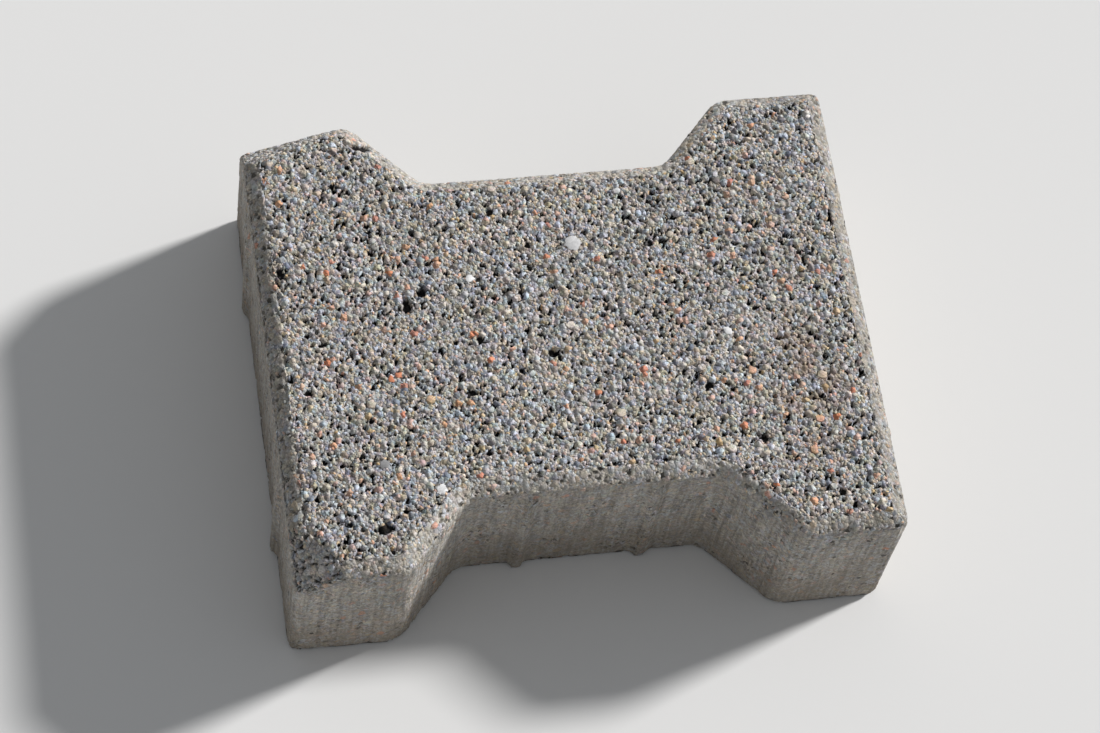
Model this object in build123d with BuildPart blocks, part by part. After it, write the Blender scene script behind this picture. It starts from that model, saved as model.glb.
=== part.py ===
"""Interlocking concrete paving stone in the shape of a wide letter I.

The stone is one pressed piece, laid flat. Two heads run across it, a waist joins them,
and a sloped notch on each long side takes the heads of the stones in the next row.

Frame: millimetres, +Z up. The origin is the middle of the underside, +X runs along the
length from head to head, and +Y runs across the width from notch to notch.
"""

import os

from build123d import *

# Plan of the stone, over its upright faces
stone_length = 200.0
stone_width = 165.0
stone_thickness = 60.0
head_flat = 37.0
slope_run = 22.0
notch_depth = 24.0

# Upright corners: tight at the four ends, softer where the slopes turn
end_corner_radius = 4.0
head_corner_radius = 9.0
notch_corner_radius = 8.0

# Chamfer round the whole top edge, wider in plan than it is deep
chamfer_width = 5.5
chamfer_depth = 4.0

# Spacer ribs, half-round uprights that keep the joint to the next stone open
rib_width = 6.5
rib_height = 2.0
rib_top_clearance = 1.5
rib_taper_length = 5.0
end_rib_offset = 45.0
notch_rib_offset = 21.0

# Broken top corners of the left head, measured from where the whole corner would be
near_break_along_end = 24.0
near_break_along_head = 19.0
near_break_drop = 12.0
far_break_along_end = 14.0
far_break_along_head = 42.0
far_break_drop = 16.0

# Places that follow from the sizes above
end_x = stone_length / 2
head_y = stone_width / 2
notch_y = head_y - notch_depth
head_corner_x = end_x - head_flat
notch_corner_x = head_corner_x - slope_run
rib_top = stone_thickness - chamfer_depth - rib_top_clearance
rib_shoulder = rib_top - rib_taper_length
rib_radius = (rib_width**2 / 4 + rib_height**2) / (2 * rib_height)
rib_setback = rib_radius - rib_height


def upright_edges(part, x):
    """The upright edges of the part that stand at x or at minus x."""
    return part.edges().filter_by(Axis.Z).filter_by(lambda edge: abs(abs(edge.center().X) - x) < 0.01)


def break_plane(y_side, along_end, along_head, drop):
    """The face of a broken top corner of the left head, facing up and out.

    It runs through one point on the top of the end face, one on the top of the head
    face, and one on the upright edge between them, the drop below the top.
    """
    on_end = Vector(-end_x, y_side * (head_y - along_end), stone_thickness)
    on_head = Vector(-end_x + along_head, y_side * head_y, stone_thickness)
    on_edge = Vector(-end_x, y_side * head_y, stone_thickness - drop)
    outward = (on_head - on_edge).cross(on_end - on_edge) * -y_side
    return Plane(origin=on_edge, x_dir=on_head - on_end, z_dir=outward)


with BuildPart() as paving_stone:
    # The plan is one quarter of the outline, mirrored about both centre lines
    with BuildSketch():
        with BuildLine():
            Polyline(
                (end_x, 0),
                (end_x, head_y),
                (head_corner_x, head_y),
                (notch_corner_x, notch_y),
                (0, notch_y),
            )
            mirror(about=Plane.YZ)
            mirror(about=Plane.XZ)
        make_face()
    extrude(amount=stone_thickness)

    # The slopes turn into the heads and into the notch walls in round corners
    fillet(upright_edges(paving_stone, head_corner_x), head_corner_radius)
    fillet(upright_edges(paving_stone, notch_corner_x), notch_corner_radius)

    # The chamfer follows the outline all the way round the top
    top = paving_stone.faces().sort_by(Axis.Z)[-1]
    chamfer(top.edges(), length=chamfer_width, length2=chamfer_depth, reference=top)

    # A block with round corners trims the four end corners, through their mitres too
    with BuildSketch():
        RectangleRounded(stone_length, stone_width, end_corner_radius)
    extrude(amount=stone_thickness, mode=Mode.INTERSECT)

    # Two ribs on each end face and two on each notch wall, each a post sunk into its
    # wall, so that only the outer part of its round stands proud
    end_rib_x = end_x - rib_setback
    notch_rib_y = notch_y - rib_setback
    rib_places = GridLocations(2 * end_rib_x, 2 * end_rib_offset, 2, 2).locations
    rib_places += GridLocations(2 * notch_rib_offset, 2 * notch_rib_y, 2, 2).locations
    with BuildSketch():
        with Locations(rib_places):
            Circle(rib_radius)
    extrude(amount=rib_shoulder)

    # Each rib's head tapers until it meets the wall
    with Locations(Plane.XY.offset(rib_shoulder)):
        with Locations(rib_places):
            Cone(
                bottom_radius=rib_radius,
                top_radius=rib_setback,
                height=rib_taper_length,
                align=(Align.CENTER, Align.CENTER, Align.MIN),
            )

    # The two broken corners
    near_break = break_plane(-1, near_break_along_end, near_break_along_head, near_break_drop)
    far_break = break_plane(1, far_break_along_end, far_break_along_head, far_break_drop)
    split(bisect_by=near_break, keep=Keep.BOTTOM)
    split(bisect_by=far_break, keep=Keep.BOTTOM)

paving_stone.part.label = "paving_stone"

os.makedirs("parts", exist_ok=True)
export_step(paving_stone.part, "parts/paving_stone.step")
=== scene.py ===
"""The worn face of an interlocking concrete paving stone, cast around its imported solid.

Everything is in metres, in the frame of the solid: +Z up, the origin in the middle of the
underside, +X along the length from head to head, +Y across the width from notch to notch.
Patterns are read in millimetres, at the place where a point lay before it was worn.
"""

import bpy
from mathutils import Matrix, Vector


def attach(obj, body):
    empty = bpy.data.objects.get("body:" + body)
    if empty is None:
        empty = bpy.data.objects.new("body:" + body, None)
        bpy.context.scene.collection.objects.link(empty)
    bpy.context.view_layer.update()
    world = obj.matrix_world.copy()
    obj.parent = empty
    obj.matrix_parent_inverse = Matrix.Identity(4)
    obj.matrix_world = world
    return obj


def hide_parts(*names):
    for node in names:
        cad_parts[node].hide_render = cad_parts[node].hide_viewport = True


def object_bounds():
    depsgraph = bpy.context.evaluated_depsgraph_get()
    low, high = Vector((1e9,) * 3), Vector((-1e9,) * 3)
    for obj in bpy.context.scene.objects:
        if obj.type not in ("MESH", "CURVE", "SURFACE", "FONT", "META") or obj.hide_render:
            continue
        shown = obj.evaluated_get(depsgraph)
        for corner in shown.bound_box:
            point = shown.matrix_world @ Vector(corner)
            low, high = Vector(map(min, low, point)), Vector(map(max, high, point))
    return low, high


bl_info = {
    "name": "Worn concrete paving stone",
    "version": (1, 0, 0),
    "blender": (4, 5, 0),
    "location": "View3D > Sidebar > Paving",
    "description": "Casts an I-shaped paving stone with an open sand face, chips and stains",
    "category": "Object",
}

import math
from types import SimpleNamespace

import bmesh
import bpy
from bpy.props import FloatProperty, FloatVectorProperty, IntProperty, PointerProperty
from mathutils import Matrix, Vector

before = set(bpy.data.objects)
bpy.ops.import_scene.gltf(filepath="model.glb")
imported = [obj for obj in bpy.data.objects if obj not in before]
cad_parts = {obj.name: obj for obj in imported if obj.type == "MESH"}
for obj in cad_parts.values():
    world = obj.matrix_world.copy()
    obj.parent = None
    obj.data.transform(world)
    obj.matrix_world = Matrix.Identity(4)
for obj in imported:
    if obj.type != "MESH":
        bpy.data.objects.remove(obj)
cad_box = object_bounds()

MM = 0.001
NODE = "paving_stone"
MESH_TREE = "GeometryNodeTree"
COLOUR_TREE = "ShaderNodeTree"

# What each point of the mesh remembers: where it lay, and what part of the face it is on
PLACE = "cast_place"
ZONES = "cast_zones"

# Flat faces that a rounded corner and a whole rib are made of, before the mesh is made even
CORNER_FACES = 6
RIB_FACES = 32

# Heights on the stone, in mm: its top, as it was packed, and the foot of its chamfer
TOP = round(cad_box[1][2] / MM, 3)
CHAMFER_FOOT = TOP - 4.0

# Along the length, in mm: where the more chipped left end begins, and where it is at its worst
LEFT_END_FROM = -82.0
LEFT_END_WORST = -94.0

# From the middle along the length, in mm: where the end chamfers turn darker, and are darkest
END_SHADE_FROM = 70.0
END_SHADE_FULL = 92.0

# The rusty stain on the right head, in mm: its middle, and how far it reaches each way
STAIN_MIDDLE = (74.0, -32.0, TOP)
STAIN_REACH = (17.0, 42.0, 30.0)

# Heights on the sides, in mm: no soil clings above the first, and most of it below the second
SOIL_FREE = 50.0
SOIL_FULL = 20.0

# Random patterns of the face, in mm: how wide they are, and how deep they go
WAVE_WIDTH = 38.0
WAVE_DEPTH = 0.35
BED_WAVE_WIDTH = 9.0
BED_WAVE_DEPTH = 0.5
DRAG_WIDTH = 1.8
DRAG_DEPTH = 0.55
TEAR_WIDTH = 7.0

# Air holes of the sides: cells of their net along one millimetre, and the share with a hole
AIR_HOLE_NET = 0.4
AIR_HOLE_SHARE = 0.11

# Nets of the sand: how many cells of the coarse net and of the stones' net lie along one grain,
# and the chance above which a coarse cell holds one large grain
COARSE_NET = 0.52
STONE_NET = 0.25
LARGE_GRAIN_ABOVE = 0.77

# Colours of the sand grains, each with the share of the grains from which it is used
GRAIN_COLOURS = (
    (0.00, (0.10, 0.10, 0.11)),
    (0.06, (0.185, 0.19, 0.205)),
    (0.15, (0.29, 0.287, 0.28)),
    (0.30, (0.42, 0.41, 0.39)),
    (0.48, (0.54, 0.535, 0.525)),
    (0.66, (0.69, 0.685, 0.675)),
    (0.79, (0.90, 0.90, 0.895)),
    (0.86, (0.56, 0.46, 0.33)),
    (0.90, (0.62, 0.44, 0.37)),
    (0.95, (0.62, 0.40, 0.30)),
    (0.98, (0.48, 0.22, 0.15)),
)

# Pits on the top, in mm: middle, half width along X and Y, depth
PITS = (
    (-47.0, 15.5, 1.7, 2.0, 2.2),
    (-52.4, 11.2, 1.5, 2.6, 2.0),
    (-14.3, 13.2, 0.5, 3.2, 1.8),
    (-30.2, -3.4, 1.3, 1.3, 1.4),
    (-7.4, -10.6, 1.5, 1.6, 1.6),
    (-9.9, 29.7, 1.2, 1.3, 1.3),
    (42.2, -27.0, 1.6, 1.4, 1.7),
    (-35.7, -22.2, 2.2, 1.2, 1.2),
    (57.0, -47.9, 1.3, 1.5, 1.4),
    (-69.0, -67.3, 2.8, 1.8, 1.0),
    (-20.5, 43.4, 1.3, 1.4, 1.4),
    (-60.0, 72.0, 3.6, 1.6, 1.2),
    (-92.0, 26.6, 1.3, 2.0, 1.5),
    (93.8, 31.5, 0.6, 3.6, 1.2),
    (79.6, 21.5, 0.9, 0.8, 1.2),
    (81.6, 15.8, 0.7, 2.2, 1.1),
    (85.4, 19.6, 0.7, 1.2, 1.1),
    (31.2, 26.9, 1.0, 1.1, 1.3),
    (49.0, 29.6, 0.8, 1.0, 1.1),
    (79.2, -69.3, 1.2, 1.2, 1.5),
    (-32.8, -44.3, 1.1, 1.0, 1.3),
    (-80.5, -65.0, 1.4, 1.2, 1.2),
    (-87.9, -17.6, 1.3, 1.0, 1.2),
)

# Large pebbles worn flush with the top, in mm: middle and half width, then how pale and how red
PEBBLES = (
    (5.4, 29.1, 2.8, 0.62, 0.0),
    (-30.7, 19.1, 1.4, 0.95, 0.0),
    (51.7, -8.1, 1.6, 0.9, 0.0),
    (-49.7, -55.6, 1.8, 1.0, 0.0),
    (-66.8, -45.0, 1.6, 0.12, 0.0),
    (-60.9, -15.4, 1.0, 0.5, 1.0),
    (-58.2, -14.0, 1.1, 0.6, 1.0),
)


class StoneSizes(bpy.types.PropertyGroup):
    """Sizes of the whole stone."""

    length: FloatProperty(
        name="Length", description="Over the two end faces", default=200 * MM, unit="LENGTH"
    )
    width: FloatProperty(
        name="Width", description="Over the flats of the heads", default=165 * MM, unit="LENGTH"
    )
    thickness: FloatProperty(
        name="Thickness", description="From bed to top", default=60 * MM, unit="LENGTH"
    )
    head_flat: FloatProperty(
        name="Head flat", description="Flat end of each head", default=37 * MM, unit="LENGTH"
    )
    slope_run: FloatProperty(
        name="Slope run", description="Length that a slope takes", default=22 * MM, unit="LENGTH"
    )
    notch_depth: FloatProperty(
        name="Notch depth", description="From head to waist", default=24 * MM, unit="LENGTH"
    )
    end_radius: FloatProperty(
        name="End corner radius", description="Upright end corners", default=4 * MM, unit="LENGTH"
    )
    head_radius: FloatProperty(
        name="Head corner radius", description="From head to slope", default=9 * MM, unit="LENGTH"
    )
    notch_radius: FloatProperty(
        name="Notch corner radius", description="From slope to waist", default=8 * MM, unit="LENGTH"
    )
    chamfer_width: FloatProperty(
        name="Chamfer width", description="Its width in plan", default=5.5 * MM, unit="LENGTH"
    )
    chamfer_depth: FloatProperty(
        name="Chamfer depth", description="Its drop", default=4 * MM, unit="LENGTH"
    )
    rib_width: FloatProperty(
        name="Rib width", description="Spacer rib at its foot", default=6.5 * MM, unit="LENGTH"
    )
    rib_height: FloatProperty(
        name="Rib height", description="How far a rib stands out", default=2 * MM, unit="LENGTH"
    )
    rib_clearance: FloatProperty(
        name="Rib clearance", description="From the chamfer down to a rib", default=1.5 * MM, unit="LENGTH"
    )
    rib_taper: FloatProperty(
        name="Rib taper", description="Length of a rib's pointed head", default=5 * MM, unit="LENGTH"
    )
    end_rib_offset: FloatProperty(
        name="End rib offset", description="From the middle of an end", default=45 * MM, unit="LENGTH"
    )
    notch_rib_offset: FloatProperty(
        name="Notch rib offset", description="From the middle of a waist", default=21 * MM, unit="LENGTH"
    )
    near_break: FloatVectorProperty(
        name="Near break", description="Broken near corner: along the end, along the head, down",
        default=(24 * MM, 19 * MM, 12 * MM), unit="LENGTH",
    )
    far_break: FloatVectorProperty(
        name="Far break", description="Broken far corner: along the end, along the head, down",
        default=(14 * MM, 42 * MM, 16 * MM), unit="LENGTH",
    )


class SurfaceWear(bpy.types.PropertyGroup):
    """Sizes of the worn face. Depths and sizes without a unit are in millimetres."""

    grain: FloatProperty(name="Sand grain", description="Usual size of a sand grain", default=0.95)
    relief: FloatProperty(name="Relief", description="Depth between the worn grains", default=0.8)
    crown: FloatProperty(name="Crown", description="How far the grains stand out round", default=1.5)
    bump: FloatProperty(name="Bump", description="Height of the relief past the mesh", default=0.45)
    speckle: FloatProperty(name="Speckle", description="Change of tone inside a grain", default=0.2)
    # How strongly the near-black is painted between the grains: partly grime, partly painted shade in place
    # of their shadows
    gap_dirt_and_shade: FloatProperty(name="Gap dirt", description="Dirt between the grains", default=0.6)
    lost: FloatProperty(name="Lost grains", description="Share of fine grains that fell out", default=0.09)
    holes: FloatProperty(name="Holes", description="Share of coarse grains that fell out", default=0.05)
    stones: FloatProperty(name="Stones", description="Share of wide cells with a small stone", default=0.1)
    pore_depth: FloatProperty(name="Pore depth", description="Depth where a grain fell out", default=1.2)
    chip_depth: FloatProperty(name="Chip depth", description="Most that an edge lost", default=2.2)
    fracture: FloatProperty(name="Fracture", description="Waviness of a broken face", default=1.3)
    margin: FloatProperty(name="Margin", description="Skin kept inside the solid", default=0.12)
    voxel: FloatProperty(
        name="Voxel", description="Mesh width of the sides before thinning", default=0.8 * MM, unit="LENGTH"
    )
    triangles: IntProperty(name="Triangles", description="Most triangles in the stone", default=190000)


class ConcreteColours(bpy.types.PropertyGroup):
    """Colours of the worn concrete."""

    paste: FloatVectorProperty(
        name="Cement paste", description="Skin of the chamfer and the sides", subtype="COLOR",
        default=(0.345, 0.32, 0.28),
    )
    # Dark colour between the raised grains: partly grime in the hollows, partly painted shade
    mortar_dirt_and_shade: FloatVectorProperty(
        name="Mortar", description="Between the worn grains", subtype="COLOR", default=(0.115, 0.11, 0.102)
    )
    # Near-black of pores, pits, gaps and air holes: partly grime, partly painted shade standing in for
    # their shadows
    dirt_and_shade: FloatVectorProperty(
        name="Dirt", description="In pores and pits", subtype="COLOR", default=(0.008, 0.008, 0.009)
    )
    fresh: FloatVectorProperty(
        name="Fresh break", description="Crushed grains on worn arrises", subtype="COLOR",
        default=(0.56, 0.545, 0.52),
    )
    grain_tone: FloatProperty(
        name="Grain tone", description="Tone that the greys are drawn towards", default=0.48
    )
    grain_contrast: FloatProperty(
        name="Grain contrast", description="How far the greys differ from that tone", default=0.45
    )
    dark_pebble: FloatVectorProperty(
        name="Dark pebble", description="Darkest of the pebbles", subtype="COLOR", default=(0.2, 0.2, 0.205)
    )
    pale_pebble: FloatVectorProperty(
        name="Pale pebble", description="Palest of the pebbles", subtype="COLOR", default=(0.84, 0.84, 0.85)
    )
    red_pebble: FloatVectorProperty(
        name="Red pebble", description="Reddest of the pebbles", subtype="COLOR", default=(0.66, 0.27, 0.16)
    )
    rust: FloatVectorProperty(
        name="Rust", description="Rusty stain", subtype="COLOR", default=(0.33, 0.2, 0.12)
    )
    soil: FloatVectorProperty(
        name="Soil", description="Soil on the sides", subtype="COLOR", default=(0.2, 0.16, 0.115)
    )


class StageLayout(bpy.types.PropertyGroup):
    """Floor, light and camera."""

    floor_size: FloatProperty(
        name="Floor", description="Width of the floor", default=40.0, unit="LENGTH"
    )
    floor_colour: FloatVectorProperty(
        name="Floor colour", description="Pale plain floor", subtype="COLOR", default=(0.8, 0.8, 0.8)
    )
    key_strength: FloatProperty(name="Key light", description="Strength of the key light", default=4.15)
    key_colour: FloatVectorProperty(
        name="Key colour", description="Colour of the key light", subtype="COLOR",
        default=(1.0, 0.985, 0.965),
    )
    key_elevation: FloatProperty(
        name="Key elevation", description="Height of the key light", default=math.radians(30),
        subtype="ANGLE",
    )
    key_heading: FloatProperty(
        name="Key heading", description="From +X towards +Y", default=math.radians(19.5), subtype="ANGLE"
    )
    key_softness: FloatProperty(
        name="Key softness", description="Width of the key light", default=math.radians(7),
        subtype="ANGLE",
    )
    sky: FloatProperty(name="Sky", description="Even light from all round", default=0.28)
    sky_colour: FloatVectorProperty(
        name="Sky colour", description="Colour of the even light", subtype="COLOR",
        default=(0.95, 0.975, 1.0),
    )
    camera_place: FloatVectorProperty(
        name="Camera", description="Where the camera stands", subtype="XYZ", unit="LENGTH",
        default=(-0.1795, -0.4821, 1.0084),
    )
    camera_aim: FloatVectorProperty(
        name="Aim", description="What is in the middle of the view", subtype="XYZ", unit="LENGTH",
        default=(-0.004, -0.002, 0.032),
    )
    camera_up: FloatVectorProperty(
        name="Upwards", description="What is upwards in the view", default=(0.08, 0.8774, 0.4731)
    )
    lens: FloatProperty(
        name="Lens", description="Focal length in millimetres", default=108, subtype="DISTANCE_CAMERA"
    )


class Nodes:
    """Adds nodes to one tree. A socket is fed a number, a tuple or another socket."""

    def __init__(self, tree):
        self.tree = tree

    def feed(self, socket, value):
        if isinstance(value, bpy.types.NodeSocket):
            self.tree.links.new(value, socket)
        else:
            socket.default_value = value

    def add(self, kind, feeds=(), **settings):
        node = self.tree.nodes.new(kind)
        for name, value in settings.items():
            setattr(node, name, value)
        for name, value in dict(feeds).items():
            self.feed(node.inputs[name], value)
        return node

    def math(self, operation, *values, clamp=False):
        feeds = enumerate(values)
        return self.add("ShaderNodeMath", feeds, operation=operation, use_clamp=clamp).outputs[0]

    def times(self, *values):
        product = values[0]
        for value in values[1:]:
            product = self.math("MULTIPLY", product, value)
        return product

    def plus(self, *values):
        total = values[0]
        for value in values[1:]:
            total = self.math("ADD", total, value)
        return total

    def highest(self, *values):
        most = values[0]
        for value in values[1:]:
            most = self.math("MAXIMUM", most, value)
        return most

    def rest(self, share):
        """What a share leaves of one."""
        return self.math("SUBTRACT", 1.0, share)

    def vector(self, operation, *values):
        node = self.add("ShaderNodeVectorMath", enumerate(values), operation=operation)
        return node.outputs["Value" if operation in ("DOT_PRODUCT", "LENGTH", "DISTANCE") else "Vector"]

    def scaled(self, vector, factor):
        feeds = {0: vector, "Scale": factor}
        return self.add("ShaderNodeVectorMath", feeds, operation="SCALE").outputs["Vector"]

    def centred(self, chances):
        """Three chance values from 0 to 1, moved to lie round 0."""
        return self.vector("SUBTRACT", chances, (0.5, 0.5, 0.5))

    def drawn_down(self, place, share):
        """The place at a share of its height, which draws a pattern out downwards."""
        return self.vector("MULTIPLY", place, (1.0, 1.0, share))

    def split(self, vector):
        return self.add("ShaderNodeSeparateXYZ", {0: vector}).outputs

    def joined(self, x, y, z):
        return self.add("ShaderNodeCombineXYZ", {0: x, 1: y, 2: z}).outputs[0]

    def fade(self, value, start, end, low=0.0, high=1.0):
        """Runs smoothly from low, where the value is at start, to high, where it is at end."""
        feeds = {"Value": value, "From Min": start, "From Max": end, "To Min": low, "To Max": high}
        return self.add("ShaderNodeMapRange", feeds, interpolation_type="SMOOTHSTEP").outputs["Result"]

    def spread(self, chance, low, high):
        """A chance value from 0 to 1, spread between low and high."""
        return self.fade(chance, 0.0, 1.0, low, high)

    def mix(self, share, first, second):
        feeds = {0: share, 2: first, 3: second}
        return self.add("ShaderNodeMix", feeds, data_type="FLOAT").outputs[0]

    def mix_vectors(self, share, first, second):
        feeds = {0: share, 4: first, 5: second}
        return self.add("ShaderNodeMix", feeds, data_type="VECTOR").outputs[1]

    def mix_colours(self, share, first, second, blend="MIX"):
        feeds = {0: share, 6: opaque(first), 7: opaque(second)}
        return self.add("ShaderNodeMix", feeds, data_type="RGBA", blend_type=blend).outputs[2]

    def shaded(self, colour, factor, share=1.0):
        """The colour made lighter or darker by the factor."""
        return self.mix_colours(share, colour, self.joined(factor, factor, factor), "MULTIPLY")

    def noise(self, place, size, detail=2.0, roughness=0.5):
        scale = self.math("DIVIDE", 1.0, size)
        feeds = {"Vector": place, "Scale": scale, "Detail": detail, "Roughness": roughness}
        return self.add("ShaderNodeTexNoise", feeds, noise_dimensions="3D")

    def drift(self, place, size, detail):
        """A slow random drift along each axis, round 0."""
        return self.centred(self.noise(place, size, detail=detail).outputs[1])

    def cells(self, place, scale):
        """Random cells, so many of them along each millimetre."""
        feeds = {"Vector": place, "Scale": scale}
        return self.add("ShaderNodeTexVoronoi", feeds, voronoi_dimensions="3D")

    def group(self, tree, **feeds):
        kind = "GeometryNodeGroup" if self.tree.bl_idname == MESH_TREE else "ShaderNodeGroup"
        return self.add(kind, feeds, node_tree=tree)


def opaque(colour):
    """The colour with an alpha of 1. A socket stays as it is."""
    return colour if isinstance(colour, bpy.types.NodeSocket) else (*colour, 1.0)


def new_group(name, kind, inputs, outputs):
    """An empty node group, with the sockets of its two ends."""
    tree = bpy.data.node_groups.new(name, kind)
    for direction, sockets in (("INPUT", inputs), ("OUTPUT", outputs)):
        for socket, socket_kind in sockets.items():
            tree.interface.new_socket(name=socket, in_out=direction, socket_type="NodeSocket" + socket_kind)
    return tree, tree.nodes.new("NodeGroupInput").outputs, tree.nodes.new("NodeGroupOutput").inputs


def grain_cap(n, place, cell, scale, low):
    """A grain's worn cap and its round crown, both tipped a little to one side. Distances from
    the middle of the grain are in cells of its net.
    """
    from_middle = n.scaled(n.vector("SUBTRACT", place, cell.outputs["Position"]), scale)
    tip = n.vector("DOT_PRODUCT", from_middle, n.centred(cell.outputs["Color"]))
    level = n.spread(n.split(cell.outputs["Color"])[2], low, 1.0)
    rim = n.fade(cell.outputs[0], 0.95, 0.62)
    dome = n.math("SUBTRACT", 1.0, n.math("POWER", n.times(cell.outputs[0], 1.12), 2.0), clamp=True)
    cap = n.times(rim, n.plus(level, n.times(tip, 0.6)))
    crown = n.plus(n.times(dome, level), n.times(rim, tip, 0.8))
    return cap, crown


def sand_group(kind):
    """Packed sand with a few small stones in it: its height, the round crowns of its grains,
    the gaps between them, the pores where grains fell out, and three chance values for each.
    """
    tree, given, made = new_group(
        "Sand", kind,
        {"Place": "Vector", "Grain": "Float", "Lost": "Float", "Holes": "Float", "Stones": "Float"},
        {"Height": "Float", "Crown": "Float", "Gap": "Float", "Pore": "Float", "Lot": "Vector"},
    )
    n = Nodes(tree)
    wobble = n.drift(given["Place"], 0.9, detail=1.0)
    wobble_x, wobble_y, wobble_z = n.split(wobble)
    place = n.vector("ADD", given["Place"], n.scaled(wobble, n.times(given["Grain"], 0.9)))
    fine_scale = n.math("DIVIDE", 1.0, given["Grain"])
    coarse_scale = n.math("DIVIDE", COARSE_NET, given["Grain"])
    stone_scale = n.math("DIVIDE", STONE_NET, given["Grain"])
    fine = n.cells(place, fine_scale)
    coarse = n.cells(place, coarse_scale)
    stones = n.cells(place, stone_scale)
    fine_lot = n.split(fine.outputs["Color"])
    coarse_lot = n.split(coarse.outputs["Color"])
    stone_lot = n.split(stones.outputs["Color"])

    # A cell of the coarse net holds one large grain, a hole, or the cells of the fine net
    is_coarse = n.math("GREATER_THAN", coarse_lot[0], LARGE_GRAIN_ABOVE)
    outline = n.plus(coarse.outputs[0], n.times(wobble_x, 0.9), n.times(wobble_z, 0.9))
    is_hole = n.times(n.math("LESS_THAN", coarse_lot[0], given["Holes"]), n.fade(outline, 0.54, 0.38))
    is_lost = n.times(n.math("LESS_THAN", fine_lot[1], given["Lost"]), n.rest(is_coarse))

    # A small stone fills the middle of its own wide cell, with sand all round it
    stone_size = n.spread(stone_lot[1], 0.26, 0.46)
    past_rim = n.math("SUBTRACT", n.plus(stones.outputs[0], n.times(wobble_y, 0.22)), stone_size)
    chosen = n.math("LESS_THAN", stone_lot[0], given["Stones"])
    is_stone = n.times(chosen, n.math("LESS_THAN", past_rim, 0.0))
    is_sand = n.rest(is_stone)
    stone_cap = n.times(n.fade(past_rim, 0.0, -0.12, 0.6, 1.0), n.spread(stone_lot[2], 0.8, 1.0))

    fine_cap, fine_crown = grain_cap(n, place, fine, fine_scale, 0.65)
    coarse_cap, coarse_crown = grain_cap(n, place, coarse, coarse_scale, 0.8)
    stays = n.rest(is_lost)
    whole = n.rest(is_hole)
    cap = n.times(n.mix(is_coarse, n.times(fine_cap, stays), coarse_cap), whole)
    crown = n.times(n.mix(is_coarse, n.times(fine_crown, stays), n.times(coarse_crown, 1.5)), whole)
    n.feed(made["Height"], n.mix(is_stone, cap, stone_cap))
    n.feed(made["Crown"], n.mix(is_stone, crown, n.times(stone_cap, 1.4)))

    from_middle = n.mix(is_coarse, fine.outputs[0], coarse.outputs[0])
    # A thin dark ring round each small stone: painted shadow where the stone meets the sand
    shadow_ring_beside_stone = n.times(chosen, n.fade(n.math("ABSOLUTE", past_rim), 0.05, 0.01), 0.9)
    lost = n.times(is_lost, n.fade(fine.outputs[0], 0.8, 0.55))
    n.feed(made["Gap"], n.highest(n.times(n.fade(from_middle, 0.76, 0.88), is_sand), shadow_ring_beside_stone))
    n.feed(made["Pore"], n.times(n.highest(lost, n.times(is_hole, 1.5)), is_sand))

    # The third value picks the colour, and fine grains and stones are seldom red
    fine_chance = n.vector("MULTIPLY", fine.outputs["Color"], (1.0, 1.0, 0.93))
    stone_chance = n.vector("MULTIPLY", stones.outputs["Color"], (1.0, 1.0, 0.95))
    sand_chance = n.mix_vectors(is_coarse, fine_chance, coarse.outputs["Color"])
    n.feed(made["Lot"], n.mix_vectors(is_stone, sand_chance, stone_chance))
    return tree


def marks_group(kind):
    """The pits and the flush pebbles of the top, each where the photographed stone has it."""
    tree, given, made = new_group(
        "Marks", kind, {"Place": "Vector"},
        {"Pit": "Float", "Depth": "Float", "Pebble": "Float", "Paleness": "Float", "Redness": "Float"},
    )
    n = Nodes(tree)
    # The outlines wander by up to a millimetre, and each mark is read from above
    wobble = n.drift(given["Place"], 1.5, detail=2.0)
    place = n.drawn_down(n.vector("ADD", given["Place"], n.scaled(wobble, 2.2)), 0.0)
    pit, depth, pebble, paleness, redness = 0.0, 0.0, 0.0, 0.0, 0.0
    for x, y, half_x, half_y, deep in PITS:
        reach = n.vector("DIVIDE", n.vector("SUBTRACT", place, (x, y, 0.0)), (half_x, half_y, 1.0))
        hole = n.fade(n.vector("LENGTH", reach), 1.1, 0.8)
        pit = n.highest(pit, hole)
        depth = n.highest(depth, n.times(hole, deep))
    rim = 0.15
    for x, y, half, pale, red in PEBBLES:
        reach = n.vector("DISTANCE", place, (x, y, 0.0))
        stone = n.fade(reach, half + rim, half - rim)
        pebble = n.highest(pebble, stone)
        paleness = n.highest(paleness, n.times(stone, pale))
        redness = n.highest(redness, n.times(stone, red))
    on_top = n.fade(n.split(given["Place"])[2], TOP - 10.0, TOP - 6.0)
    n.feed(made["Pit"], n.times(pit, on_top))
    n.feed(made["Depth"], n.times(depth, on_top))
    n.feed(made["Pebble"], n.times(pebble, on_top))
    n.feed(made["Paleness"], paleness)
    n.feed(made["Redness"], redness)
    return tree


def add_sand(n, kind, place, wear):
    """The sand as a node, with the stone's own values."""
    feeds = {"Grain": wear.grain, "Lost": wear.lost, "Holes": wear.holes, "Stones": wear.stones}
    return n.group(sand_group(kind), Place=place, **feeds)


def choose(piece):
    """Makes the piece the only selected object, and the active one."""
    bpy.ops.object.select_all(action="DESELECT")
    piece.select_set(True)
    bpy.context.view_layer.objects.active = piece


def edit(piece, mode):
    """Opens the piece in edit mode with nothing selected."""
    choose(piece)
    bpy.ops.object.mode_set(mode="EDIT")
    bpy.ops.mesh.select_mode(type=mode)
    bpy.ops.mesh.select_all(action="DESELECT")


def close_edit():
    bpy.ops.object.mode_set(mode="OBJECT")


def pick(piece, kind, test):
    """Selects, in edit mode, just the vertices, edges or faces that pass the test."""
    bpy.ops.mesh.select_all(action="DESELECT")
    mesh = bmesh.from_edit_mesh(piece.data)
    mesh.normal_update()
    for item in getattr(mesh, kind):
        if test(item):
            item.select_set(True)
    mesh.select_flush_mode()
    bmesh.update_edit_mesh(piece.data)


def settle(piece):
    """Puts the piece's place, turn and scale into its mesh."""
    choose(piece)
    bpy.ops.object.transform_apply(location=True, rotation=True, scale=True)


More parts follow.
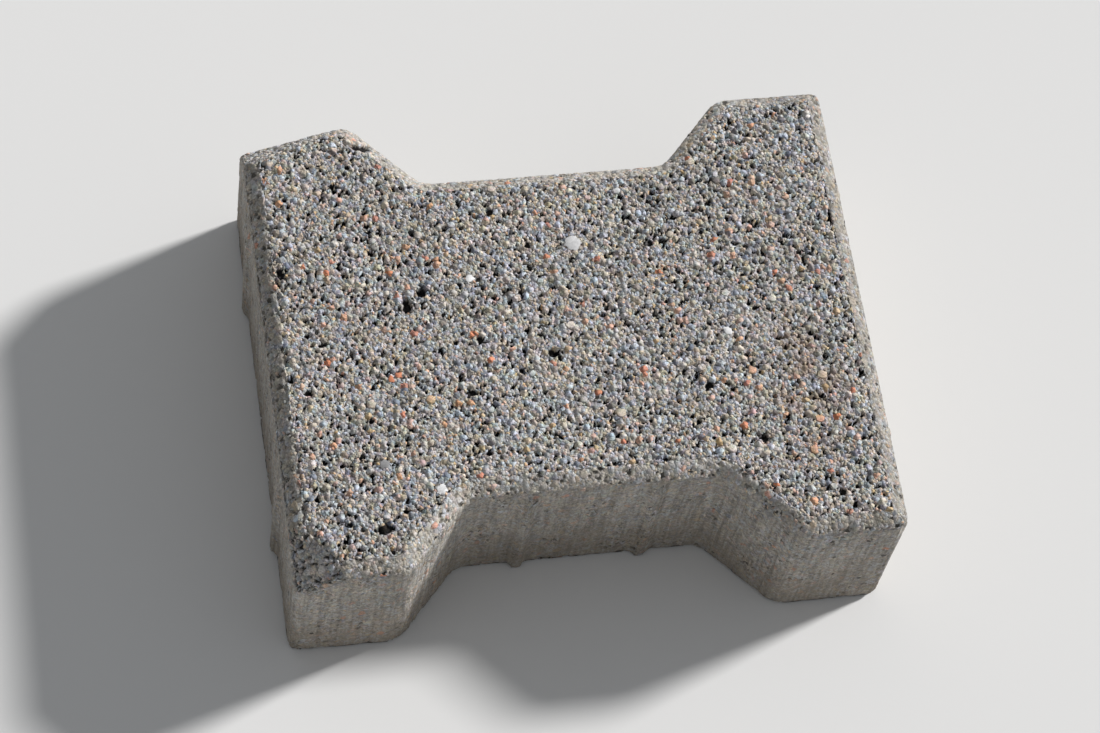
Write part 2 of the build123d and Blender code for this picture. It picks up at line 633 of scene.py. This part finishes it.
def apply_modifier(piece, kind, **settings):
    """Adds a modifier with these settings and applies it."""
    choose(piece)
    modifier = piece.modifiers.new(kind.lower(), kind)
    for name, value in settings.items():
        setattr(modifier, name, value)
    bpy.ops.object.modifier_apply(modifier=modifier.name)


def near(value, target, slack=0.01 * MM):
    return abs(value - target) < slack


def is_upright(edge):
    a, b = (vertex.co for vertex in edge.verts)
    return near(a.x, b.x) and near(a.y, b.y)


def faces_up(face):
    return face.normal.z > 0.9


def add_block(sizes, height):
    """A plain block as long and as wide as the stone."""
    bpy.ops.object.select_all(action="DESELECT")
    bpy.ops.mesh.primitive_cube_add(
        size=1, location=(0, 0, sizes.thickness / 2), scale=(sizes.length, sizes.width, height)
    )
    block = bpy.context.object
    settle(block)
    return block


def draw_in_waist(block, sizes):
    """Cuts the block across where the slopes turn, draws in the waist and rounds the turns."""
    head_x = sizes.length / 2 - sizes.head_flat
    notch_x = head_x - sizes.slope_run
    edit(block, "VERT")
    for x in (-head_x, -notch_x, notch_x, head_x):
        bpy.ops.mesh.select_all(action="SELECT")
        bpy.ops.mesh.bisect(plane_co=(x, 0, 0), plane_no=(1, 0, 0))
    for side in (-1, 1):
        pick(block, "verts", lambda v: abs(v.co.x) < notch_x + MM and v.co.y * side > 0)
        bpy.ops.transform.translate(value=(0, -side * sizes.notch_depth, 0))

    turn = math.atan2(sizes.notch_depth, sizes.slope_run)
    bpy.ops.mesh.select_mode(type="EDGE")
    for x, radius in ((head_x, sizes.head_radius), (notch_x, sizes.notch_radius)):
        pick(block, "edges", lambda e: is_upright(e) and near(abs(e.verts[0].co.x), x))
        setback = radius * math.tan(turn / 2)
        bpy.ops.mesh.bevel(offset=setback, segments=CORNER_FACES, affect="EDGES")
    bpy.ops.mesh.select_all(action="SELECT")
    bpy.ops.mesh.dissolve_limited(angle_limit=math.radians(1))
    close_edit()


def chamfer_top(block, sizes):
    """Insets the top and lowers the rim outside it."""
    edit(block, "FACE")
    pick(block, "faces", faces_up)
    bpy.ops.mesh.inset(thickness=sizes.chamfer_width, use_even_offset=True)
    bpy.ops.mesh.select_mode(type="VERT")

    def on_rim(vertex):
        return near(vertex.co.z, sizes.thickness) and any(abs(f.normal.z) < 0.1 for f in vertex.link_faces)

    pick(block, "verts", on_rim)
    bpy.ops.transform.translate(value=(0, 0, -sizes.chamfer_depth))
    close_edit()


def round_ends(block, sizes):
    """Trims the four end corners with a block whose upright edges are round."""
    trim = add_block(sizes, 2 * sizes.thickness)
    edit(trim, "EDGE")
    pick(trim, "edges", is_upright)
    bpy.ops.mesh.bevel(offset=sizes.end_radius, segments=CORNER_FACES, affect="EDGES")
    close_edit()
    apply_modifier(block, "BOOLEAN", object=trim, operation="INTERSECT", solver="EXACT")
    bpy.data.objects.remove(trim)


def break_planes(sizes):
    """The faces of the two broken corners of the left head: a point and the way it faces."""
    planes = []
    for side, (along_end, along_head, drop) in ((-1, sizes.near_break), (1, sizes.far_break)):
        corner = Vector((-sizes.length / 2, side * sizes.width / 2, sizes.thickness))
        on_end = corner - Vector((0, side * along_end, 0))
        on_head = corner + Vector((along_head, 0, 0))
        on_edge = corner - Vector((0, 0, drop))
        outward = (on_head - on_edge).cross(on_end - on_edge) * -side
        planes.append((on_edge, outward.normalized()))
    return planes


def break_corners(block, sizes):
    for point, outward in break_planes(sizes):
        edit(block, "FACE")
        bpy.ops.mesh.select_all(action="SELECT")
        bpy.ops.mesh.bisect(plane_co=point, plane_no=outward, use_fill=True, clear_outer=True)
        close_edit()


def copy_arrises(block):
    """The sharp edges of the block as an object of their own, to measure distances from."""
    arrises = block.copy()
    arrises.data = block.data.copy()
    arrises.name = "arrises"
    bpy.context.collection.objects.link(arrises)
    edit(arrises, "EDGE")
    bpy.ops.mesh.edges_select_sharp(sharpness=math.radians(25))
    bpy.ops.mesh.select_all(action="INVERT")
    bpy.ops.mesh.delete(type="EDGE")
    close_edit()
    return arrises


def rib_radius(sizes):
    """The radius of the arc that a rib's width and height give."""
    return (sizes.rib_width**2 / 4 + sizes.rib_height**2) / (2 * sizes.rib_height)


def add_rib(x, y, sizes):
    """A post sunk into its wall, with a tapered head."""
    radius = rib_radius(sizes)
    shoulder = sizes.thickness - sizes.chamfer_depth - sizes.rib_clearance - sizes.rib_taper
    bpy.ops.object.select_all(action="DESELECT")
    bpy.ops.mesh.primitive_cylinder_add(
        vertices=RIB_FACES, radius=radius, depth=shoulder, location=(x, y, shoulder / 2)
    )
    rib = bpy.context.object
    settle(rib)
    edit(rib, "FACE")
    pick(rib, "faces", faces_up)
    bpy.ops.mesh.extrude_region_move(TRANSFORM_OT_translate={"value": (0, 0, sizes.rib_taper)})
    pinch = (radius - sizes.rib_height) / radius
    head = (x, y, shoulder + sizes.rib_taper)
    bpy.ops.transform.resize(value=(pinch, pinch, 1), center_override=head)
    close_edit()
    return rib


def join_ribs(block, sizes):
    """Two ribs on each end face and two on each waist wall."""
    setback = rib_radius(sizes) - sizes.rib_height
    end_x = sizes.length / 2 - setback
    waist_y = sizes.width / 2 - sizes.notch_depth - setback
    places = [(sx * end_x, sy * sizes.end_rib_offset) for sx in (-1, 1) for sy in (-1, 1)]
    places += [(sx * sizes.notch_rib_offset, sy * waist_y) for sx in (-1, 1) for sy in (-1, 1)]
    ribs = [add_rib(x, y, sizes) for x, y in places]
    choose(block)
    for rib in ribs:
        rib.select_set(True)
    bpy.ops.object.join()


def find_zones(n, place, normal, arrises, sizes):
    """The share that each point has in the parts of the face, and its distance to an arris."""
    soft = n.add("GeometryNodeBlurAttribute", {"Iterations": 3}, data_type="FLOAT_VECTOR")
    n.feed(next(s for s in soft.inputs if s.enabled and s.name == "Value"), normal)
    soft_normal = n.vector("NORMALIZE", next(s for s in soft.outputs if s.enabled))
    rise = n.split(soft_normal)[2]
    x, _, z = n.split(place)
    zone = SimpleNamespace(top=n.fade(rise, 0.86, 0.965), bed=n.fade(rise, -0.7, -0.95))
    zone.slope = n.times(n.fade(rise, 0.3, 0.6), n.rest(zone.top))

    ragged_edge = n.times(n.math("SUBTRACT", n.noise(place, 3.0).outputs[0], 0.5), 2.4)
    zone.broken = 0.0
    for point, outward in break_planes(sizes):
        gap = n.vector("DOT_PRODUCT", n.vector("SUBTRACT", place, tuple(point / MM)), tuple(outward))
        zone.broken = n.highest(zone.broken, n.fade(n.plus(gap, ragged_edge), -1.6, 0.0))
    known = n.math("MINIMUM", n.plus(zone.top, zone.slope, zone.bed, zone.broken), 1.0)
    zone.wall = n.rest(known)

    edges = n.add("GeometryNodeProximity", target_element="EDGES")
    source = n.add("GeometryNodeObjectInfo", {"Object": arrises}, transform_space="RELATIVE")
    n.feed(edges.inputs[0], source.outputs["Geometry"])
    zone.to_arris = n.times(edges.outputs["Distance"], 1 / MM)
    zone.upper = n.fade(z, TOP - 16.0, TOP - 6.0)
    zone.crest = n.fade(z, TOP - 2.5, TOP - 0.5)
    zone.left = n.fade(x, LEFT_END_FROM, LEFT_END_WORST)
    return zone


def open_share(n, place, zone):
    """How far the sand lies open: all of it on the top, little of it under the skin of paste."""
    patches = n.fade(n.noise(place, 11.0, detail=3.0).outputs[0], 0.42, 0.62)
    share = n.highest(zone.top, n.times(zone.broken, 0.8), n.times(zone.bed, 0.6))
    share = n.plus(share, n.times(zone.slope, 0.32), n.times(zone.wall, n.mix(patches, 0.08, 0.3)))
    return n.math("MINIMUM", share, 1.0)


def sand_depths(n, place, zone, openness, wear):
    """How deep the gaps, the pores and the pits are."""
    relief = n.times(openness, n.spread(zone.bed, 1.0, 0.25))
    sand = add_sand(n, MESH_TREE, place, wear)
    marks = n.group(marks_group(MESH_TREE), Place=place)
    round_top = n.math("MINIMUM", n.mix(0.6, sand.outputs["Height"], sand.outputs["Crown"]), 1.0)
    height = n.highest(round_top, marks.outputs["Pebble"])
    grit = n.times(n.rest(height), wear.relief, relief)
    beside_pebbles = n.rest(marks.outputs["Pebble"])
    pores = n.times(sand.outputs["Pore"], wear.pore_depth, n.math("POWER", relief, 1.3), beside_pebbles)
    return grit, pores, marks.outputs["Depth"]


def chipped_share(n, place, zone):
    """Where the arrises are chipped, more often on the left end than elsewhere."""
    chance = n.noise(place, n.mix(zone.upper, 7.0, 3.4)).outputs[0]
    return n.mix(zone.left, n.fade(chance, 0.62, 0.74), n.fade(chance, 0.50, 0.62))


def form_depths(n, place, zone, chipped, wear):
    """Slow waves, rounded and chipped arrises, ragged breaks, drag marks and the bed's waves."""
    waves = n.times(n.noise(place, WAVE_WIDTH).outputs[0], WAVE_DEPTH)
    round_off = n.times(n.fade(zone.to_arris, 2.2, 0.0), n.mix(zone.upper, 0.5, 0.3))
    reach = n.fade(zone.to_arris, n.mix(zone.upper, 3.2, 2.0), 0.2)
    on_crest = n.times(zone.left, zone.crest)
    nick_depth = n.mix(on_crest, 0.25 * wear.chip_depth, 0.6 * wear.chip_depth)
    chips = n.times(chipped, reach, n.mix(zone.upper, wear.chip_depth, nick_depth))
    torn = n.noise(place, TEAR_WIDTH, detail=3.0, roughness=0.6).outputs[0]
    ragged = n.times(torn, zone.broken, wear.fracture)
    dragged = n.noise(n.drawn_down(place, 0.07), DRAG_WIDTH, detail=3.0).outputs[0]
    drag = n.times(n.fade(dragged, 0.45, 0.75), zone.wall, DRAG_DEPTH)
    bed_waves = n.times(n.noise(place, BED_WAVE_WIDTH).outputs[0], zone.bed, BED_WAVE_DEPTH)
    return waves, round_off, chips, ragged, drag, bed_waves


def wear_tree(sizes, wear, arrises):
    """The wear of the whole face, as a node tree that pushes each point inwards."""
    tree, given, made = new_group("Wear", MESH_TREE, {"Mesh": "Geometry"}, {"Mesh": "Geometry"})
    n = Nodes(tree)
    place = n.scaled(n.add("GeometryNodeInputPosition").outputs[0], 1 / MM)
    normal = n.add("GeometryNodeInputNormal").outputs[0]
    zone = find_zones(n, place, normal, arrises, sizes)
    openness = open_share(n, place, zone)
    chipped = chipped_share(n, place, zone)
    skin = n.times(n.rest(zone.bed), wear.margin)
    depths = sand_depths(n, place, zone, openness, wear) + form_depths(n, place, zone, chipped, wear)
    arris_wear = n.highest(n.fade(zone.to_arris, 3.0, 0.0), chipped)

    kept = n.add("GeometryNodeStoreNamedAttribute", {"Name": PLACE}, data_type="FLOAT_VECTOR")
    zones = n.add("GeometryNodeStoreNamedAttribute", {"Name": ZONES}, data_type="FLOAT_VECTOR")
    move = n.add("GeometryNodeSetPosition")
    n.feed(kept.inputs["Geometry"], given["Mesh"])
    n.feed(kept.inputs["Value"], place)
    n.feed(zones.inputs["Geometry"], kept.outputs[0])
    n.feed(zones.inputs["Value"], n.joined(openness, zone.broken, arris_wear))
    n.feed(move.inputs["Geometry"], zones.outputs[0])
    inwards = n.times(n.plus(skin, *depths), -MM)
    n.feed(move.inputs["Offset"], n.scaled(n.vector("NORMALIZE", normal), inwards))
    n.feed(made["Mesh"], move.outputs[0])
    return tree


def refine_top(piece):
    """Halves the mesh width wherever the face looks upwards."""
    edit(piece, "FACE")
    pick(piece, "faces", lambda f: f.normal.z > 0.2)
    bpy.ops.mesh.subdivide(number_cuts=1)
    close_edit()


def box_tree(low, high):
    """Keeps each point between two corners."""
    tree, given, made = new_group("Box", MESH_TREE, {"Mesh": "Geometry"}, {"Mesh": "Geometry"})
    n = Nodes(tree)
    place = n.add("GeometryNodeInputPosition").outputs[0]
    held = n.vector("MINIMUM", n.vector("MAXIMUM", place, tuple(low)), tuple(high))
    move = n.add("GeometryNodeSetPosition", {"Geometry": given["Mesh"], "Position": held})
    n.feed(made["Mesh"], move.outputs[0])
    return tree


def thin_out(piece, most):
    """Collapses the edges that show least, at a thousand times the size, for a sound sum."""
    triangles = sum(len(face.vertices) - 2 for face in piece.data.polygons)
    piece.scale = (1 / MM,) * 3
    settle(piece)
    apply_modifier(piece, "DECIMATE", ratio=min(1.0, most / triangles))
    piece.scale = (MM,) * 3
    settle(piece)


def colour_of_grains(n, lot, tone, contrast):
    """The colour of each sand grain: mostly greys, some white, ochre, pink and brick red."""
    ramp = n.add("ShaderNodeValToRGB", {0: lot})
    ramp.color_ramp.interpolation = "CONSTANT"
    elements = ramp.color_ramp.elements
    while len(elements) < len(GRAIN_COLOURS):
        elements.new(1.0)
    for element, (start, colour) in zip(elements, GRAIN_COLOURS):
        grey = sum(colour) / 3
        gain = (grey / tone) ** contrast * tone / grey
        element.position = start
        element.color = opaque(tuple(value * gain for value in colour))
    return ramp.outputs[0]


def read_face(n, wear):
    """What the material reads of the mesh: its places and zones, its sand and its marks."""
    face = SimpleNamespace(place=n.add("ShaderNodeAttribute", attribute_name=PLACE).outputs["Vector"])
    zones = n.add("ShaderNodeAttribute", attribute_name=ZONES).outputs["Vector"]
    face.openness, face.broken, face.arris = n.split(zones)
    face.x, _, face.z = n.split(face.place)
    face.sand = add_sand(n, COLOUR_TREE, face.place, wear).outputs
    face.marks = n.group(marks_group(COLOUR_TREE), Place=face.place).outputs
    face.lot = n.split(face.sand["Lot"])
    face.dust = n.cells(face.place, 2 / wear.grain).outputs
    face.speckle = n.spread(n.split(face.dust["Color"])[0], 1.0 - wear.speckle, 1.0 + wear.speckle)
    face.patch = n.drift(face.place, 2.2, detail=1.0)
    face.side = n.times(n.fade(face.z, CHAMFER_FOOT + 0.5, CHAMFER_FOOT - 2.0), n.rest(face.broken))
    drawn = n.drawn_down(face.place, 0.05)
    face.streaks = n.noise(drawn, 1.2, detail=3.0, roughness=0.6).outputs[0]
    return face


def sand_and_paste(n, face, colours):
    """Grains stand in mortar on the open face and show faintly through the paste elsewhere."""
    tint_lot = face.lot[1]
    tint = n.joined(n.spread(tint_lot, 0.91, 1.13), 1.0, n.spread(tint_lot, 1.14, 0.85))
    tint = n.vector("MULTIPLY_ADD", face.patch, (0.42, 0.16, 0.42), tint)
    grains = colour_of_grains(n, face.lot[2], colours.grain_tone, colours.grain_contrast)
    grains = n.mix_colours(1.0, grains, tint, "MULTIPLY")
    height = n.highest(face.sand["Height"], face.marks["Pebble"])
    # The low places between the grains take the dark colour: partly grime, partly painted shade
    open_sand = n.mix_colours(n.fade(height, 0.05, 0.45), colours.mortar_dirt_and_shade, grains)
    paste = n.mix_colours(n.times(n.fade(height, 0.1, 0.7), 0.35), colours.paste, grains)

    patchy = n.fade(n.noise(face.place, 4.0, detail=3.0).outputs[0], 0.35, 0.65)
    uneven = n.plus(face.openness, n.times(n.math("SUBTRACT", patchy, 0.5), 0.35))
    cover = n.times(n.fade(uneven, 0.15, 0.75), n.spread(face.broken, 1.0, 0.85))
    colour = n.mix_colours(cover, paste, open_sand)
    crushed = n.highest(n.times(face.arris, n.spread(face.broken, 0.05, 0.0)), n.times(face.broken, 0.24))
    colour = n.mix_colours(crushed, colour, colours.fresh)
    return n.shaded(colour, face.speckle)


def skin_shade(n, face):
    """The tone of the skin: drag marks where the mould slid off, and chamfers darker at the ends than
    nearer the middle.
    """
    # Chamfers near the middle of the length are made lighter, those at the ends darker
    end_chamfer_tone = n.fade(n.math("ABSOLUTE", face.x), END_SHADE_FROM, END_SHADE_FULL, 1.16, 0.87)
    chamfer = n.mix(n.fade(face.openness, 0.7, 0.4), 1.0, end_chamfer_tone)
    return n.mix(face.side, chamfer, n.fade(face.streaks, 0.3, 0.7, 0.8, 1.18))


def air_holes(n, face):
    """How dark the small air holes of the sides are painted: grime and painted shade in the holes."""
    bubbles = n.cells(n.vector("ADD", face.place, n.scaled(face.patch, 1.6)), AIR_HOLE_NET)
    lot = n.split(bubbles.outputs["Color"])
    size = n.plus(n.times(n.math("POWER", lot[1], 2.5), 0.26), 0.12)
    bubble = n.fade(bubbles.outputs[0], size, n.math("SUBTRACT", size, 0.08))
    bubble = n.times(bubble, n.math("LESS_THAN", lot[0], AIR_HOLE_SHARE), face.side)
    return n.times(bubble, n.spread(lot[2], 0.4, 0.75))


def stained(n, face, colour, colours):
    """Slow changes of tone, the rusty stain on the right head, soil low on the sides."""
    tone = n.fade(n.noise(face.place, 30.0, detail=3.0).outputs[0], 0.3, 0.7, 0.94, 1.06)
    colour = n.shaded(colour, tone)
    reach = n.vector("DIVIDE", n.vector("SUBTRACT", face.place, STAIN_MIDDLE), STAIN_REACH)
    blot = n.fade(n.noise(face.place, 9.0, detail=4.0, roughness=0.6).outputs[0], 0.45, 0.62)
    stain = n.times(n.fade(n.vector("LENGTH", reach), 1.0, 0.2), blot, 0.5)
    colour = n.mix_colours(stain, colour, colours.rust)
    tide = n.plus(face.z, n.times(n.noise(face.place, 14.0, detail=3.0).outputs[0], 24.0))
    return n.mix_colours(n.fade(tide, SOIL_FREE, SOIL_FULL, 0.0, 0.4), colour, colours.soil)


def dirt_and_shade_share(n, face, wear):
    """Grime and painted shade between the grains, in pores, pits and air holes, less of it where a corner
    broke off.
    """
    # Less of the painted darkness, grime and shade alike, on the broken faces
    darkness_kept = n.spread(face.broken, 1.0, 0.35)
    gaps = n.times(face.sand["Gap"], n.fade(face.openness, 0.2, 0.9), darkness_kept, wear.gap_dirt_and_shade)
    pores = n.times(face.sand["Pore"], n.fade(face.openness, 0.1, 0.6), darkness_kept, 0.92)
    return n.highest(gaps, pores, n.times(face.marks["Pit"], 0.97), air_holes(n, face))


def pebble_colour(n, face, colours):
    """The colour of the large flush pebbles."""
    colour = n.mix_colours(face.marks["Paleness"], colours.dark_pebble, colours.pale_pebble)
    colour = n.mix_colours(face.marks["Redness"], colour, colours.red_pebble)
    return n.shaded(colour, face.speckle, share=0.45)


def fine_relief(n, face, wear):
    """The relief past what the mesh holds: round grains, their own roughness, drag marks."""
    pebbles = face.marks["Pebble"]
    crown = n.times(n.mix(pebbles, face.sand["Crown"], 1.0), wear.crown)
    bare = n.times(n.fade(face.openness, 0.05, 0.7, 0.3, 1.0), n.spread(face.broken, 1.0, 0.9))
    rough = n.times(face.dust[0], n.mix(pebbles, -0.2, -0.09))
    height = n.plus(n.times(n.plus(crown, rough), bare), n.times(face.streaks, face.side, 0.9))
    feeds = {"Strength": 1.0, "Distance": wear.bump * MM, "Height": height}
    return n.add("ShaderNodeBump", feeds).outputs[0]


def concrete_material(colours, wear):
    """Worn concrete: the same sand as the mesh, with paste, grime and painted shade in the pores, and
    stains.
    """
    material = bpy.data.materials.new("worn_concrete")
    material.use_nodes = True
    n = Nodes(material.node_tree)
    shader = material.node_tree.nodes["Principled BSDF"]
    face = read_face(n, wear)
    colour = n.shaded(sand_and_paste(n, face, colours), skin_shade(n, face))
    colour = stained(n, face, colour, colours)
    # Near-black in gaps, pores, pits and air holes: grime and painted shade
    colour = n.mix_colours(dirt_and_shade_share(n, face, wear), colour, colours.dirt_and_shade)
    colour = n.mix_colours(face.marks["Pebble"], colour, pebble_colour(n, face, colours))
    n.feed(shader.inputs["Base Color"], colour)
    n.feed(shader.inputs["Roughness"], n.spread(face.lot[1], 0.78, 0.96))
    n.feed(shader.inputs["Normal"], fine_relief(n, face, wear))
    shader.inputs["Specular IOR Level"].default_value = 0.12
    return material


def floor_material(layout):
    material = bpy.data.materials.new("pale_floor")
    material.use_nodes = True
    shader = material.node_tree.nodes["Principled BSDF"]
    shader.inputs["Base Color"].default_value = opaque(layout.floor_colour)
    shader.inputs["Roughness"].default_value = 0.9
    shader.inputs["Specular IOR Level"].default_value = 0.1
    return material


class PAVING_OT_cast_stone(bpy.types.Operator):
    """Cast the paving stone, break its corners and wear its face"""

    bl_idname = "paving.cast_stone"
    bl_label = "Cast the stone"

    def execute(self, context):
        sizes = context.scene.stone_sizes
        wear = context.scene.surface_wear
        stone = add_block(sizes, sizes.thickness)
        stone.name = "worn_paving_stone"
        draw_in_waist(stone, sizes)
        chamfer_top(stone, sizes)
        round_ends(stone, sizes)
        break_corners(stone, sizes)
        arrises = copy_arrises(stone)
        join_ribs(stone, sizes)
        apply_modifier(stone, "REMESH", mode="VOXEL", voxel_size=wear.voxel * 1)
        refine_top(stone)
        apply_modifier(stone, "NODES", node_group=wear_tree(sizes, wear, arrises))
        bpy.data.objects.remove(arrises)
        thin_out(stone, wear.triangles)
        apply_modifier(stone, "NODES", node_group=box_tree(*cad_box))
        bpy.ops.object.shade_smooth()
        stone.data.materials.clear()
        stone.data.materials.append(concrete_material(context.scene.concrete_colours, wear))
        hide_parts(NODE)
        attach(stone, "root")
        return {"FINISHED"}


class PAVING_OT_set_stage(bpy.types.Operator):
    """Lay the floor and set the light and the camera"""

    bl_idname = "paving.set_stage"
    bl_label = "Set the stage"

    def execute(self, context):
        layout = context.scene.stage_layout
        bpy.ops.object.select_all(action="DESELECT")
        bpy.ops.mesh.primitive_plane_add(size=layout.floor_size)
        floor = context.object
        floor.name = "floor"
        floor.data.materials.append(floor_material(layout))
        self.light(context.scene, layout)
        self.aim_camera(context.scene, layout)
        context.scene.view_settings.view_transform = "Standard"
        return {"FINISHED"}

    def light(self, scene, layout):
        bpy.ops.object.light_add(type="SUN")
        key = bpy.context.object
        key.name = "key_light"
        key.data.energy = layout.key_strength
        key.data.angle = layout.key_softness
        key.data.color = layout.key_colour
        level = math.cos(layout.key_elevation)
        towards = Vector((
            level * math.cos(layout.key_heading),
            level * math.sin(layout.key_heading),
            math.sin(layout.key_elevation),
        ))
        key.rotation_euler = towards.to_track_quat("Z", "Y").to_euler()

        world = bpy.data.worlds.new("studio")
        scene.world = world
        world.use_nodes = True
        n = Nodes(world.node_tree)
        sky = world.node_tree.nodes["Background"]
        sky.inputs["Color"].default_value = opaque(layout.sky_colour)
        sky.inputs["Strength"].default_value = layout.sky
        backdrop = n.add("ShaderNodeBackground", {"Color": opaque(layout.floor_colour)})
        path = n.add("ShaderNodeLightPath").outputs
        seen = n.plus(path["Is Camera Ray"], path["Is Glossy Ray"], path["Is Transmission Ray"])
        choice = n.add("ShaderNodeMixShader", {0: seen, 1: sky.outputs[0], 2: backdrop.outputs[0]})
        n.feed(world.node_tree.nodes["World Output"].inputs["Surface"], choice.outputs[0])

    def aim_camera(self, scene, layout):
        camera = bpy.data.objects.new("camera", bpy.data.cameras.new("camera"))
        scene.collection.objects.link(camera)
        camera.data.lens = layout.lens
        place = Vector(layout.camera_place)
        ahead = (Vector(layout.camera_aim) - place).normalized()
        right = ahead.cross(Vector(layout.camera_up)).normalized()
        turn = Matrix((right, right.cross(ahead), -ahead)).transposed()
        camera.matrix_world = Matrix.Translation(place) @ turn.to_4x4()
        scene.camera = camera


class PAVING_PT_panel(bpy.types.Panel):
    """Sizes, colours and the steps of the stone"""

    bl_idname = "PAVING_PT_panel"
    bl_label = "Paving stone"
    bl_space_type = "VIEW_3D"
    bl_region_type = "UI"
    bl_category = "Paving"

    def draw(self, context):
        for settings in GROUPS:
            values = getattr(context.scene, settings)
            box = self.layout.box()
            for name in values.__annotations__:
                box.prop(values, name)
        self.layout.operator(PAVING_OT_cast_stone.bl_idname)
        self.layout.operator(PAVING_OT_set_stage.bl_idname)


GROUPS = {
    "stone_sizes": StoneSizes,
    "surface_wear": SurfaceWear,
    "concrete_colours": ConcreteColours,
    "stage_layout": StageLayout,
}
CLASSES = (*GROUPS.values(), PAVING_OT_cast_stone, PAVING_OT_set_stage, PAVING_PT_panel)


def register():
    for cls in CLASSES:
        bpy.utils.register_class(cls)
    for name, group in GROUPS.items():
        setattr(bpy.types.Scene, name, PointerProperty(type=group))


def unregister():
    for name in GROUPS:
        delattr(bpy.types.Scene, name)
    for cls in reversed(CLASSES):
        bpy.utils.unregister_class(cls)


def main():
    register()
    bpy.ops.paving.cast_stone()
    bpy.ops.paving.set_stage()


if __name__ == "__main__":
    main()
